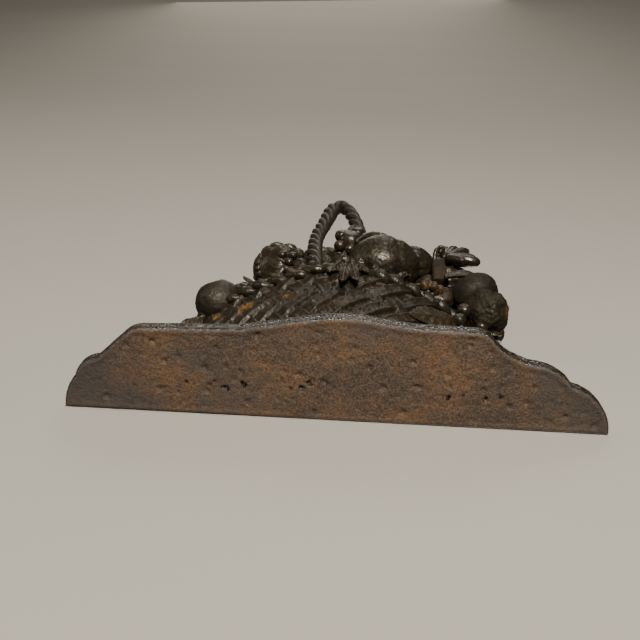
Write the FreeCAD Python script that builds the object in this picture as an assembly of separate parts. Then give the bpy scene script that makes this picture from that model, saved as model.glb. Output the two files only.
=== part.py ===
"""Cast-iron door stop: a wide, low basket of fruit with a twisted handle, on a scrolled plinth.

Frame, in millimetres: +Z is up, +X is to the right of somebody facing the stop, and the front looks
along -Y. The origin is under the middle of the plinth, at the middle of the whole object's depth.
Distances out of the flat back are called relief: relief 0 is the back plane and relief DEPTH the
foremost point of the plinth. Points are written (x, relief, height).
"""
import FreeCAD, Part
import math
import os

Vector = FreeCAD.Vector

# ---------------------------------------------------------------- driving dimensions
WIDTH = 300.0             # plinth, end to end
DEPTH = 62.0              # plinth, flat back to the swell in the middle of its front
PLINTH_HEIGHT = 8.0
RIM_HEIGHT = 102.0        # middle of the basket's braided rim
RIM_RADIUS = 4.4
BASKET_FOOT_SCALE = 0.80  # the basket's plan at the plinth, against its plan at the rim
WALL = 6.0                # thickness of the casting round its hollow back
OPEN_BACK = 2.0           # how far the hollow runs out past the back plane
BED_THICKNESS = 5.0       # the ledge that closes the basket behind its rim
ROPE_RADIUS = 5.0
LEAF_THICKNESS = 2.6

BACKING_CENTRE_HEIGHT = 95.0
BACKING_HALF_WIDTH = 88.0   # of the swell behind the fruit, where it meets the back plane
BACKING_RELIEF = 40.0

BACK_Y = DEPTH / 2.0
BIG = 400.0               # larger than the object, for trimming blocks

# The front edge of the plinth, from the left back corner to the right one, as runs and arcs.
# Each entry is the end of a straight run, or a point on an arc followed by the arc's end.
PLINTH_START = (-WIDTH / 2.0, 0.0)
PLINTH_EDGE = [
    [(-147.6, 11.0), (-142.0, 20.0)],     # left end lobe, up to its notch
    [(-138.0, 27.2), (-128.5, 31.6)],     # small second lobe
    [(-112.5, 46.6)],                     # slope to the shoulder
    [(-107.2, 50.0), (-99.0, 51.2)],      # left shoulder
    [(-52.0, 52.8)],                      # left flat
    [(-33.0, 56.4), (-12.0, 60.3)],       # rise of the swell
    [(7.0, DEPTH), (27.0, 59.6)],         # crown of the swell
    [(46.0, 57.8)],
    [(74.0, 57.6)],                       # right flat
    [(79.6, 55.6), (83.6, 51.4)],         # right shoulder
    [(93.0, 44.4), (108.0, 39.6)],        # cove
    [(119.5, 35.0), (126.6, 28.0)],       # right second lobe, down to its notch
    [(142.0, 19.0), (WIDTH / 2.0, 2.0)],  # right end lobe
    [(WIDTH / 2.0, 0.0)],
]

# Corners of the basket's plan at the rim, back left to back right; every corner is rounded.
BASKET_PLAN = [(-97.0, 0.0), (-94.0, 12.0), (-66.0, 30.0), (-26.0, 46.6), (3.0, 51.6),
               (34.0, 44.6), (66.0, 28.0), (83.0, 13.0), (86.0, 0.0)]
PLAN_MIDDLE_X = -5.0
PLAN_HALF_WIDTH = 90.0
PLAN_RELIEF = 52.0

# Corners of the handle's centre line, from its foot on the rim to its end on the backing.
HANDLE_ROUTE = [(-17.2, 48.0, 104.0), (-20.2, 49.0, 138.0), (-20.6, 49.4, 166.0), (-16.6, 50.4, 190.0),
                (-11.6, 52.4, 216.0), (-7.0, 53.4, 233.5), (-1.4, 53.0, 233.5), (3.4, 52.2, 223.0),
                (7.0, 51.6, 206.0), (8.8, 46.0, 188.0), (9.6, 34.0, 177.0), (9.6, 10.0, 172.0)]


# ---------------------------------------------------------------- helpers
def place(point):
    """The row-frame position of a point given as (x, relief, height)."""
    x, relief, height = point
    return Vector(x, BACK_Y - relief, height)


def direction(x, relief, height):
    """A unit vector given by its sideways, outward and upward shares."""
    vector = Vector(x, -relief, height)
    vector.normalize()
    return vector


def rounded_route(points):
    """Straight runs joined by tangent arcs, as large as their two runs allow."""
    edges = []
    start = points[0]
    for index in range(1, len(points) - 1):
        before, corner, after = points[index - 1], points[index], points[index + 1]
        arrive = corner - before
        leave = after - corner
        reach = 0.45 * min(arrive.Length, leave.Length)
        arrive.normalize()
        leave.normalize()
        arc_start = corner - arrive * reach
        arc_end = corner + leave * reach
        half_turn = arrive.getAngle(leave) / 2.0
        radius = reach / math.tan(half_turn)
        bisector = leave - arrive
        bisector.normalize()
        rise = radius / math.cos(half_turn) - radius
        edges.append(Part.LineSegment(start, arc_start).toShape())
        edges.append(Part.Arc(arc_start, corner + bisector * rise, arc_end).toShape())
        start = arc_end
    edges.append(Part.LineSegment(start, points[-1]).toShape())
    return edges


def rod(route, radius):
    """A round rod along a route of runs and arcs."""
    path = Part.Wire(rounded_route(route))
    first_run = route[1] - route[0]
    section = Part.Wire(Part.makeCircle(radius, route[0], first_run))
    return path.makePipeShell([section], True, True)


def ball(centre, radius):
    """A ball whose poles look to the front and the back, clear of the cuts through its sides."""
    return Part.makeSphere(radius, place(centre), direction(0, 1, 0))


def capsule(centre, half_length, radius, along):
    """A ball drawn out along a direction: half_length runs from its middle to either end."""
    reach = half_length - radius
    axis = Vector(0, 0, 1)
    low, high = Vector(0, 0, -half_length), Vector(0, 0, half_length)
    low_side, high_side = Vector(radius, 0, -reach), Vector(radius, 0, reach)
    slope = radius * math.sqrt(0.5)
    low_middle = Vector(slope, 0, -reach - slope)
    high_middle = Vector(slope, 0, reach + slope)
    outline = Part.Wire([Part.Arc(low, low_middle, low_side).toShape(),
                         Part.LineSegment(low_side, high_side).toShape(),
                         Part.Arc(high_side, high_middle, high).toShape(),
                         Part.LineSegment(high, low).toShape()])
    shape = Part.Face(outline).revolve(Vector(0, 0, 0), axis, 360.0)
    shape.Placement = FreeCAD.Placement(place(centre), FreeCAD.Rotation(axis, along))
    return shape


def leaf(root, tip, facing, width, thickness=LEAF_THICKNESS):
    """A pointed leaf blade: two arcs from root to tip, as a plate that faces outwards."""
    start, end = place(root), place(tip)
    along = end - start
    length = along.Length
    along.normalize()
    across = facing.cross(along)
    across.normalize()
    outward = along.cross(across)
    middle = start + along * (0.45 * length)
    one_side = Part.Arc(start, middle + across * (width / 2.0), end).toShape()
    other_side = Part.Arc(end, middle - across * (width / 2.0), start).toShape()
    blade = Part.Face(Part.Wire([one_side, other_side]))
    return blade.extrude(outward * thickness)


def behind_back():
    """The half space behind the flat back, as a block."""
    return Part.makeBox(BIG, BIG, BIG, Vector(-BIG / 2.0, BACK_Y, -BIG / 4.0))


def plan_wire(scale_x, scale_relief, height, back_shift=0.0):
    """The basket's plan, scaled about the middle of its back edge, as a closed wire."""
    corners = []
    for x, relief in BASKET_PLAN:
        side = PLAN_MIDDLE_X + (x - PLAN_MIDDLE_X) * scale_x
        corners.append(place((side, relief * scale_relief, height)))
    if back_shift:
        corners[0] = corners[0] + Vector(0, back_shift, 0)
        corners[-1] = corners[-1] + Vector(0, back_shift, 0)
    edges = rounded_route(corners)
    edges.append(Part.LineSegment(corners[-1], corners[0]).toShape())
    return Part.Wire(edges)


# ---------------------------------------------------------------- the casting
def base_plinth():
    """The solid plinth: straight back, scrolled front."""
    edges = []
    here = place((PLINTH_START[0], PLINTH_START[1], 0.0))
    for entry in PLINTH_EDGE:
        points = [place((x, relief, 0.0)) for x, relief in entry]
        if len(points) == 2:
            edges.append(Part.Arc(here, points[0], points[1]).toShape())
        else:
            edges.append(Part.LineSegment(here, points[0]).toShape())
        here = points[-1]
    edges.append(Part.LineSegment(here, place((PLINTH_START[0], PLINTH_START[1], 0.0))).toShape())
    return Part.Face(Part.Wire(edges)).extrude(Vector(0, 0, PLINTH_HEIGHT))


def basket_outside():
    foot = plan_wire(BASKET_FOOT_SCALE, BASKET_FOOT_SCALE, PLINTH_HEIGHT)
    rim = plan_wire(1.0, 1.0, RIM_HEIGHT)
    return Part.makeLoft([foot, rim], True, True)


def basket_hollow():
    """The hollow in the back of the basket, running out through the flat back."""
    inner_x = 1.0 - WALL / PLAN_HALF_WIDTH
    inner_relief = 1.0 - WALL / PLAN_RELIEF
    foot_x = BASKET_FOOT_SCALE * inner_x
    foot_relief = BASKET_FOOT_SCALE * inner_relief
    foot = plan_wire(foot_x, foot_relief, PLINTH_HEIGHT, OPEN_BACK)
    rim = plan_wire(inner_x, inner_relief, RIM_HEIGHT, OPEN_BACK)
    return Part.makeLoft([foot, rim], True, True)


def basket_shell():
    return basket_outside().cut(basket_hollow())


def rim_braid():
    corners = [place((x, relief - 1.0, RIM_HEIGHT)) for x, relief in BASKET_PLAN]
    corners[0] = place((BASKET_PLAN[0][0], 0.0, RIM_HEIGHT))
    corners[-1] = place((BASKET_PLAN[-1][0], 0.0, RIM_HEIGHT))
    return rod(corners, RIM_RADIUS)


def backing_cap(inset):
    """The swell behind the fruit as a ball that stands out of the back plane, its radius less inset."""
    radius = (BACKING_HALF_WIDTH ** 2 + BACKING_RELIEF ** 2) / (2.0 * BACKING_RELIEF)
    return ball((0.0, BACKING_RELIEF - radius, BACKING_CENTRE_HEIGHT), radius - inset)


def fruit_backing():
    """The hollow swell that the fruit stands on, with the ledge that closes the basket."""
    ledge_bottom = RIM_HEIGHT - RIM_RADIUS - BED_THICKNESS
    below = Part.makeBox(BIG, BIG, BIG, Vector(-BIG / 2.0, -BIG / 2.0, ledge_bottom - BIG))
    above = Part.makeBox(BIG, BIG, BIG, Vector(-BIG / 2.0, -BIG / 2.0, ledge_bottom + BED_THICKNESS))
    cap = backing_cap(0.0).cut(below)
    ledge = basket_hollow().cut(below).cut(above)
    shape = cap.fuse(ledge).cut(behind_back())
    return shape.cut(backing_cap(WALL))


def handle_rope():
    return rod([place(point) for point in HANDLE_ROUTE], ROPE_RADIUS)


# ---------------------------------------------------------------- fruit and leaves
def fruit_shapes():
    """Every fruit, berry and leaf, in the order in which a later one gives way to an earlier one."""
    front = direction(0, 1, 0)
    sideways = direction(1, 0, 0)
    slant = direction(0.5, 0.9, 0)
    shapes = {}
    shapes["melon"] = [capsule((28.5, 37.0, 145.0), 26.5, 20.7, sideways)]
    shapes["apple_left"] = [ball((-44.3, 33.0, 137.0), 19.2)]
    shapes["peach_left"] = [ball((-83.4, 18.6, 110.6), 15.9)]
    shapes["peach_right"] = [capsule((90.8, 32.6, 118.0), 16.0, 12.2, direction(1, 0, -0.2))]
    shapes["quince_right"] = [ball((96.0, 25.4, 101.0), 14.6)]
    shapes["pear_centre"] = [capsule((-18.0, 31.0, 158.0), 17.0, 14.4, direction(0, 0, 1))]
    shapes["gourd"] = [capsule((48.0, 33.0, 160.0), 18.6, 14.8, sideways)]
    shapes["pear_upper_left"] = [capsule((-42.0, 20.0, 166.0), 17.0, 13.4, direction(0.25, 0, 1))]
    shapes["apple_upper_right"] = [capsule((37.0, 20.0, 177.0), 14.6, 13.6, front)]
    shapes["apple_top"] = [ball((-2.0, 20.0, 180.0), 13.6)]
    shapes["plum_left"] = [capsule((-67.0, 23.0, 117.0), 8.6, 6.4, front)]
    shapes["grape_cluster"] = [
        ball((-2.2, 52.2, 165.0), 4.6), ball((6.9, 52.6, 161.0), 4.6), ball((-2.8, 48.1, 154.4), 4.3),
        ball((9.6, 52.0, 171.6), 5.2), ball((1.4, 50.0, 173.4), 4.3), ball((15.6, 51.6, 163.6), 4.1),
        ball((5.0, 46.6, 152.6), 4.2), ball((3.2, 45.4, 163.0), 6.0)]
    shapes["grape_stalk"] = [capsule((3.6, 30.0, 160.0), 15.0, 6.4, front)]
    shapes["berry_bunch_right"] = [
        capsule((79.2, 42.2, 168.0), 6.2, 4.2, direction(0.2, 0, 1)),
        capsule((87.4, 41.0, 166.4), 6.0, 4.1, direction(0.5, 0, 0.9)),
        capsule((80.8, 34.6, 156.4), 5.6, 4.6, direction(0.2, 0, 1)),
        capsule((95.4, 36.0, 162.6), 6.0, 4.4, direction(0.8, 0, 0.6)),
        capsule((90.4, 31.4, 154.6), 5.4, 4.1, direction(0.9, 0, 0.5)),
        capsule((72.6, 37.0, 163.0), 5.2, 4.0, direction(-0.3, 0, 1))]
    shapes["stem_stub"] = [capsule((68.4, 34.0, 142.4), 9.6, 6.4, direction(0.15, 0, 1))]
    shapes["vine_knot_right"] = [capsule((77.0, 25.0, 157.0), 17.0, 9.5, direction(1, 0, 0.2))]
    shapes["vine_leaf_rim_right"] = [capsule((66.0, 25.4, 118.0), 13.0, 8.0, direction(1, 0, 0.3))]
    shapes["blossom"] = [
        capsule((57.7, 34.2, 121.4), 3.8, 3.2, slant), capsule((60.6, 32.8, 114.8), 3.8, 3.2, slant),
        capsule((65.0, 33.6, 120.6), 3.8, 3.2, slant)]
    shapes["berries_lower_right"] = [
        ball((81.8, 27.6, 95.0), 4.6), ball((77.4, 24.4, 87.0), 4.3), ball((91.8, 20.6, 86.4), 3.8)]
    shapes["berries_left"] = [
        ball((-41.4, 49.2, 127.0), 3.1), ball((-34.2, 48.2, 128.2), 3.1), ball((-36.4, 46.0, 121.8), 2.9)]
    shapes["tendril"] = [capsule((70.6, 40.0, 168.6), 7.2, 3.6, direction(-0.3, 0.4, 0.9))]
    shapes["crown_leaf_left"] = [capsule((-44.0, 42.6, 148.6), 13.0, 5.8, sideways)]
    shapes["ruffled_leaf"] = [capsule((21.6, 49.4, 170.6), 6.4, 4.2, direction(1, 0, 0.2))]
    shapes["leaf_far_left"] = [leaf((-88.0, 11.0, 97.0), (-107.0, 9.6, 90.0), front, 14.0)]
    shapes["leaf_rim_centre"] = [leaf((-12.0, 50.2, 107.0), (10.0, 50.2, 76.0), front, 20.0)]
    shapes["leaf_flank_right"] = [leaf((74.0, 19.6, 90.0), (42.0, 35.8, 66.0), slant, 20.0)]
    shapes["leaf_lower_right"] = [leaf((90.0, 12.0, 100.0), (106.0, 12.0, 78.0), slant, 13.0)]
    shapes["leaf_upper_left"] = [leaf((-46.0, 20.0, 152.0), (-80.0, 10.0, 146.0), front, 20.0)]
    shapes["leaf_upper_right"] = [leaf((56.0, 22.0, 170.0), (84.0, 16.0, 190.0), front, 20.0)]
    shapes["leaf_top"] = [leaf((-22.0, 24.0, 172.0), (-30.0, 16.0, 198.0), front, 18.0)]
    shapes["leaf_peach_right"] = [leaf((72.0, 36.0, 128.0), (104.0, 34.0, 134.0), front, 17.0)]
    return shapes


# ---------------------------------------------------------------- fitting and writing
def largest_solid(shape):
    solids = sorted(shape.Solids, key=lambda solid: solid.Volume)
    return solids[-1] if solids else None


def trimmed(shape, earlier):
    """The piece with the space of each touching earlier piece taken out of it."""
    for other in earlier:
        if shape.BoundBox.intersect(other.BoundBox):
            shape = largest_solid(shape.cut(other))
            if shape is None:
                return None
    return shape


def build():
    plinth = base_plinth()
    rim = rim_braid().cut(behind_back())
    rim = largest_solid(rim)
    shell = trimmed(basket_shell(), [rim])
    handle = trimmed(handle_rope(), [rim])
    backing = trimmed(fruit_backing(), [rim, shell])
    nodes = {"base_plinth": [plinth], "basket_shell": [shell], "rim_braid": [rim],
             "fruit_backing": [backing]}
    placed = [plinth, rim, shell, backing]
    fruits = fruit_shapes()
    handle = trimmed(handle, [backing])
    nodes["handle_rope"] = [handle]
    placed.append(handle)
    for name, shapes in fruits.items():
        kept = []
        for shape in shapes:
            piece = trimmed(shape.cut(behind_back()), placed)
            if piece is None:
                print("nothing left of a piece in", name)
                continue
            kept.append(piece)
            placed.append(piece)
        nodes[name] = kept
    return nodes


def write(nodes):
    os.makedirs("parts", exist_ok=True)
    for name, solids in nodes.items():
        shape = solids[0] if len(solids) == 1 else Part.makeCompound(solids)
        shape.exportStep("parts/" + name + ".step")
        volume = sum(solid.Volume for solid in solids)
        closed = all(solid.isValid() and solid.isClosed() for solid in solids)
        print(name, "solids", len(solids), "volume_cm3", round(volume / 1000.0, 2), "closed", closed)


write(build())
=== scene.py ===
"""Looks of the cast-iron fruit-basket door stop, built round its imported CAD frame.

Lengths in this script are millimetres in the row frame (+X right, -Y front, +Z up) and become metres
when a mesh is made. "Relief" is the distance out of the flat back, towards the front.
"""
import math
import random

import bmesh
import bpy
import numpy as np
from mathutils import Matrix, Vector, noise
from mathutils.geometry import delaunay_2d_cdt


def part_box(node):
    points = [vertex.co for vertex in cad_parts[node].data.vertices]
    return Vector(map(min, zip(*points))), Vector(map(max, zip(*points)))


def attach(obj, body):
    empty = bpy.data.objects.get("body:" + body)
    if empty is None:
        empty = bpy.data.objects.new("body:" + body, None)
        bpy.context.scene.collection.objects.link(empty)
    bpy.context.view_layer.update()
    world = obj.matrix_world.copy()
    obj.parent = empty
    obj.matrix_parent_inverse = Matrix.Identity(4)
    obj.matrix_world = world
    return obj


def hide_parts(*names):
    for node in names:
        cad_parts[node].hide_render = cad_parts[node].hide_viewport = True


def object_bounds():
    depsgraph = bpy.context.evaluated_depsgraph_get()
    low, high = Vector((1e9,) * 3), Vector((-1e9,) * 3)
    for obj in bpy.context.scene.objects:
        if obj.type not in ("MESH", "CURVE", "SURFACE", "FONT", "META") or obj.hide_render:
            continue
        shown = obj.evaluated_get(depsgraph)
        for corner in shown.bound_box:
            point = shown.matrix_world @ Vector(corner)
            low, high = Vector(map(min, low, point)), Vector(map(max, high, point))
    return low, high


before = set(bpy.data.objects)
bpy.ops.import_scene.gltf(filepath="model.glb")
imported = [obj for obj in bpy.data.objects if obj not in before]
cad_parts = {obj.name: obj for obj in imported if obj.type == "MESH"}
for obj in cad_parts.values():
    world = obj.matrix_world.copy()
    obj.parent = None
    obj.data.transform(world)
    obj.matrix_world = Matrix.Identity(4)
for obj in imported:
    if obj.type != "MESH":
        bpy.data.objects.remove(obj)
cad_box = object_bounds()

MM = 0.001
BACK = cad_box[1].y / MM
BODY = "root"
NEAR_BACK = 0.05  # what lies this near the back plane counts as on it
FAR_OFF = 1e9     # beyond any length in this script
UP = np.array([0.0, 0.0, 1.0])
FRONT = np.array([0.0, -1.0, 0.0])
RIGHT = np.array([1.0, 0.0, 0.0])
LEFT = -RIGHT


# ---------------------------------------------------------------- reading the frame
def box(node):
    """Lowest and highest corner of a CAD node, in millimetres."""
    low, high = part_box(node)
    return np.array(low) / MM, np.array(high) / MM


def cad_mesh(node):
    """A welded copy of a CAD node's mesh, in millimetres."""
    work = bmesh.new()
    work.from_mesh(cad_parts[node].data)
    bmesh.ops.scale(work, vec=(1 / MM,) * 3, verts=work.verts)
    bmesh.ops.remove_doubles(work, verts=work.verts, dist=0.002)
    return work


def cad_solids(node):
    """The points of each separate solid in a CAD node."""
    work = cad_mesh(node)
    left = set(work.verts)
    solids = []
    while left:
        first = left.pop()
        island, edge_of = [first], [first]
        while edge_of:
            vert = edge_of.pop()
            for edge in vert.link_edges:
                other = edge.other_vert(vert)
                if other in left:
                    left.remove(other)
                    island.append(other)
                    edge_of.append(other)
        solids.append(np.array([v.co for v in island]))
    work.free()
    return sorted(solids, key=lambda points: tuple(points.mean(0)))


def cad_section(node, height):
    """The closed outline of a CAD node at one height, as (x, y) points in order."""
    work = cad_mesh(node)
    everything = work.verts[:] + work.edges[:] + work.faces[:]
    bmesh.ops.bisect_plane(work, geom=everything, plane_co=(0, 0, height), plane_no=(0, 0, 1),
                           clear_inner=True, clear_outer=True)
    bmesh.ops.remove_doubles(work, verts=work.verts, dist=0.01)
    work.verts.ensure_lookup_table()
    here = work.verts[0]
    seen = {here}
    outline = [here.co.xy.copy()]
    while True:
        ahead = [e.other_vert(here) for e in here.link_edges if e.other_vert(here) not in seen]
        if not ahead:
            break
        here = ahead[0]
        seen.add(here)
        outline.append(here.co.xy.copy())
    work.free()
    return np.array(outline)


def length_along(points):
    """Length of an open line up to each of its points."""
    return np.concatenate([[0.0], np.cumsum(np.linalg.norm(np.diff(points, axis=0), axis=1))])


def spaced(points, count):
    """An open line resampled into count evenly spaced points."""
    along = length_along(points)
    wanted = np.linspace(0.0, along[-1], count)
    return np.stack([np.interp(wanted, along, points[:, k]) for k in range(points.shape[1])], 1)


def plan_line(node, height, count):
    """A CAD node's outer plan, from back left round the front to back right, and the middle of its back."""
    outline = cad_section(node, height)
    left = np.where(outline[:, 1] > BACK - NEAR_BACK, outline[:, 0], FAR_OFF).argmin()
    outline = np.roll(outline, -left, 0)
    right = np.where(outline[:, 1] > BACK - NEAR_BACK, outline[:, 0], -FAR_OFF).argmax()
    one, other = outline[:right + 1], np.roll(outline, -right, 0)[:len(outline) - right + 1][::-1]
    line = spaced(one if one[:, 1].min() < other[:, 1].min() else other, count)
    return line, np.array([line[:, 0].mean(), BACK])


def out_at(x, relief, z):
    """A place given by its relief instead of its y."""
    return np.array([x, BACK - relief, z])


def unit(vector):
    """A direction made one long."""
    vector = np.asarray(vector, float)
    return vector / np.linalg.norm(vector)


def axes_about(axis, facing=FRONT):
    """Two directions square to an axis; the first is as near as it can be to facing."""
    side = facing - axis * np.dot(facing, axis)
    if np.linalg.norm(side) < 1e-3:
        side = UP - axis * np.dot(UP, axis)
    side = unit(side)
    return side, np.cross(axis, side)


def smooth(low, high, value):
    """0 below low, 1 above high and a soft step between; low may be the higher one."""
    share = np.clip((value - low) / (high - low), 0.0, 1.0)
    return share * share * (3.0 - 2.0 * share)


def waves(points, size, seed):
    """Smooth noise from -1 to 1 whose features are about size millimetres across."""
    shift = Vector((seed * 17.31, seed * 5.17, seed * 9.73))
    return np.array([noise.noise(Vector(p) / size + shift) for p in points])


def pits(points, size, seed):
    """Noise that is 0 nearly everywhere and rises to 1 in scattered round pits."""
    shift = Vector((seed * 7.1, seed * 3.3, seed * 11.9))
    near = np.array([noise.voronoi(Vector(p) / size + shift)[0][0] for p in points])
    return 1.0 - smooth(0.10, 0.34, near)


# ---------------------------------------------------------------- the swell behind the fruit
backing_low, backing_high = box("fruit_backing")
SWELL_Z = backing_low[2] + 2.4
SWELL_HALF_WIDTH = backing_high[0]
SWELL_RELIEF = 40.0
SWELL_WALL = 6.0
SWELL_RIM = 11.0   # width of its rim in the back plane
SWELL_RADIUS = (SWELL_HALF_WIDTH ** 2 + SWELL_RELIEF ** 2) / (2.0 * SWELL_RELIEF)


def swell_relief(x, z, inset=0.0):
    """Relief of the ball-shaped swell behind the fruit at (x, z); 0 outside its rim."""
    away = x * x + (z - SWELL_Z) ** 2
    inside = np.clip((SWELL_RADIUS - inset) ** 2 - away, 0.0, None)
    return np.clip(np.sqrt(inside) - (SWELL_RADIUS - SWELL_RELIEF), 0.0, None)


def press_back(points):
    """Flattens what would come through the back plane, or through into the hollow behind the fruit."""
    over_bed = smooth(SWELL_Z - 6.0, SWELL_Z + 6.0, points[:, 2])
    least = swell_relief(points[:, 0], points[:, 2], SWELL_WALL * 0.6) * over_bed
    points[:, 1] = np.minimum(points[:, 1], BACK - least)
    return points


# ---------------------------------------------------------------- meshes
def normals_of(points, faces):
    """The unit normal at each point of a mesh."""
    mesh = bpy.data.meshes.new("scratch")
    mesh.from_pydata(points.tolist(), [], faces)
    out = np.zeros(len(points) * 3, np.float32)
    mesh.vertices.foreach_get("normal", out)
    bpy.data.meshes.remove(mesh)
    return out.reshape(-1, 3).astype(float)


def cast_skin(points, faces, seed, swell, grain, pit=0.0):
    """Gives a smooth form the uneven skin of an old sand casting.

    swell, grain and pit are how far its broad waves, its fine ones and its pits move it, in millimetres.
    """
    out = normals_of(points, faces)
    push = swell * waves(points, 9.0, seed) + grain * waves(points, 2.1, seed + 3)
    push += 0.6 * grain * waves(points, 1.0, seed + 7)
    if pit:
        push -= pit * pits(points, 5.2, seed + 5)
    return points + out * push[:, None]


def placed(name, data):
    """A new object in the scene."""
    thing = bpy.data.objects.new(name, data)
    bpy.context.scene.collection.objects.link(thing)
    return thing


def piece(name, points, faces, slot, replaced=(), look=None):
    """Makes a finished piece: smooth-shaded, on the body, with the material of its slot.

    look names another material than the slot's own.
    """
    mesh = bpy.data.meshes.new(name)
    mesh.from_pydata((np.asarray(points) * MM).tolist(), [], faces)
    mesh.validate()
    work = bmesh.new()
    work.from_mesh(mesh)
    bmesh.ops.recalc_face_normals(work, faces=work.faces)
    work.to_mesh(mesh)
    work.free()
    mesh.shade_smooth()
    thing = placed(name, mesh)
    thing.data.materials.append(MATERIALS[look or slot])
    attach(thing, BODY)
    if replaced:
        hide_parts(*replaced)


def join_parts(parts):
    """Several (points, faces) put together as one."""
    points, faces, start = [], [], 0
    for more_points, more_faces in parts:
        points.append(more_points)
        faces.extend([tuple(i + start for i in face) for face in more_faces])
        start += len(more_points)
    return np.concatenate(points), faces


def joined(name, parts, slot, replaced=(), look=None):
    """Makes one piece of several (points, faces), kept clear of the back plane and of the hollow."""
    points, faces = join_parts(parts)
    piece(name, press_back(points), faces, slot, replaced, look)


def grid_faces(rows, columns, wrapped=False):
    """The faces of a grid of points; wrapped joins its last column to its first."""
    faces = []
    for r in range(rows - 1):
        for c in range(columns if wrapped else columns - 1):
            here, beside = r * columns + c, r * columns + (c + 1) % columns
            faces.append((here, beside, beside + columns, here + columns))
    return faces


def double_skin(outer, inner, close_first=True, close_last=True):
    """Two grids of points closed round their edges, as (points, faces); a row at a pole stays open."""
    rows, columns = outer.shape[:2]
    count = rows * columns
    grid = grid_faces(rows, columns)
    faces = grid + [tuple(i + count for i in face[::-1]) for face in grid]
    for r in range(rows - 1):
        first, end = r * columns, (r + 1) * columns - 1
        faces.append((first, first + columns, first + columns + count, first + count))
        faces.append((end + columns, end, end + count, end + columns + count))
    for c in range(columns - 1):
        last = count - columns + c
        if close_first:
            faces.append((c + 1, c, c + count, c + 1 + count))
        if close_last:
            faces.append((last, last + 1, last + 1 + count, last + count))
    return np.concatenate([outer.reshape(-1, 3), inner.reshape(-1, 3)]), faces


def line_sides(line):
    """Two directions square to a line at each of its points, carried along it without twisting."""
    ahead = np.gradient(line, axis=0)
    ahead /= np.linalg.norm(ahead, axis=1)[:, None]
    side, _ = axes_about(ahead[0])
    sides = []
    for direction in ahead:
        side = unit(side - direction * np.dot(side, direction))
        sides.append(side)
    sides = np.array(sides)
    return sides, np.cross(ahead, sides)


def tube(path, radii, around, bump=None):
    """A round tube along points; bump(angle, row) adds to the radius. Both ends are closed."""
    count = len(path)
    sides, acrosses = line_sides(path)
    turn = np.linspace(0.0, 2.0 * math.pi, around, endpoint=False)
    rings = []
    for k, radius in enumerate(radii):
        reach = radius + (bump(turn, k) if bump else 0.0)
        rings.append(path[k] + (np.cos(turn) * reach)[:, None] * sides[k]
                     + (np.sin(turn) * reach)[:, None] * acrosses[k])
    faces = grid_faces(count, around, wrapped=True)
    first, last = count * around, count * around + 1
    for c in range(around):
        faces.append((first, (c + 1) % around, c))
        faces.append((last, (count - 1) * around + c, (count - 1) * around + (c + 1) % around))
    return np.concatenate(rings + [path[:1], path[-1:]]), faces


def ball_directions(steps):
    """An even mesh of directions, as (points, faces)."""
    work = bmesh.new()
    bmesh.ops.create_icosphere(work, subdivisions=steps, radius=1.0)
    points = np.array([v.co for v in work.verts])
    faces = [tuple(v.index for v in f.verts) for f in work.faces]
    work.free()
    return points, faces


BALLS = {steps: ball_directions(steps) for steps in (3, 4, 5, 6)}


def grown(centre, half_length, radius, axis, form, steps, facing):
    """A fruit grown about an axis: form(t, angle) gives the shares of radius and length.

    t runs from -1 at the foot to 1 at the stalk end; angle 0 looks to facing.
    """
    directions, faces = BALLS[steps]
    axis = unit(axis)
    side, across = axes_about(axis, facing)
    t = np.clip(directions[:, 2], -1.0, 1.0)
    angle = np.arctan2(directions[:, 1], directions[:, 0])
    out, along = form(t, angle)
    ring = np.sqrt(1.0 - t * t)
    points = (centre + (t * along * half_length)[:, None] * axis
              + (ring * out * radius * np.cos(angle))[:, None] * side
              + (ring * out * radius * np.sin(angle))[:, None] * across)
    return points, faces


def cast(centre, half_length, radius, axis, form, seed, skin, steps=4, facing=FRONT):
    """A grown form with cast skin, as (points, faces); skin holds the swell, grain and pit of cast_skin."""
    points, faces = grown(centre, half_length, radius, axis, form, steps, facing)
    return cast_skin(points, faces, seed, *skin), faces


# ---------------------------------------------------------------- forms of the fruit
# Each gives the shares of radius and length at t, from foot to stalk, and at an angle; see grown.
def plain_form(t, angle):
    return np.ones_like(t), np.ones_like(t)


def ridged_form(t, angle):
    return 1.0 + 0.09 * np.cos(3.0 * angle + 2.6 * t), np.ones_like(t)


def apple_form(t, angle):
    ring = np.sqrt(1.0 - t * t)
    top = np.exp(-(ring / 0.34) ** 2) * (t > 0)
    foot = np.exp(-(ring / 0.26) ** 2) * (t < 0)
    return 1.0 + 0.022 * np.cos(5.0 * angle) * ring, 1.0 - 0.26 * top - 0.12 * foot


def peach_form(t, angle):
    cleft = np.exp(-(np.angle(np.exp(1j * (angle - 0.5))) / 0.15) ** 2)
    ring = np.sqrt(1.0 - t * t)
    top = np.exp(-(ring / 0.30) ** 2) * (t > 0)
    return 1.0 - 0.12 * cleft * ring ** 0.5, 1.0 - 0.16 * top


def pear_form(t, angle):
    neck = smooth(-0.1, 0.95, t)
    return 1.04 - 0.42 * neck + 0.02 * np.cos(3.0 * angle), np.ones_like(t)


def gourd_form(t, angle):
    rib = np.abs(np.cos(5.5 * angle)) ** 0.7
    return 0.93 + 0.10 * rib, np.ones_like(t)


def melon_form(t, angle):
    out = 1.0 + 0.035 * np.cos(2.0 * angle) + 0.012 * np.cos(7.0 * angle) * (1.0 - t * t)
    waist = 0.06 * np.exp(-((t - 0.34) / 0.14) ** 2)
    return out * (1.02 + 0.05 * (1.0 - t * t) - waist - 0.05 * smooth(0.2, 0.8, t)), np.ones_like(t)


def berry_form(t, angle):
    tip = np.exp(-((1.0 - t) / 0.10))
    return np.ones_like(t), 1.0 - 0.18 * tip


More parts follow.
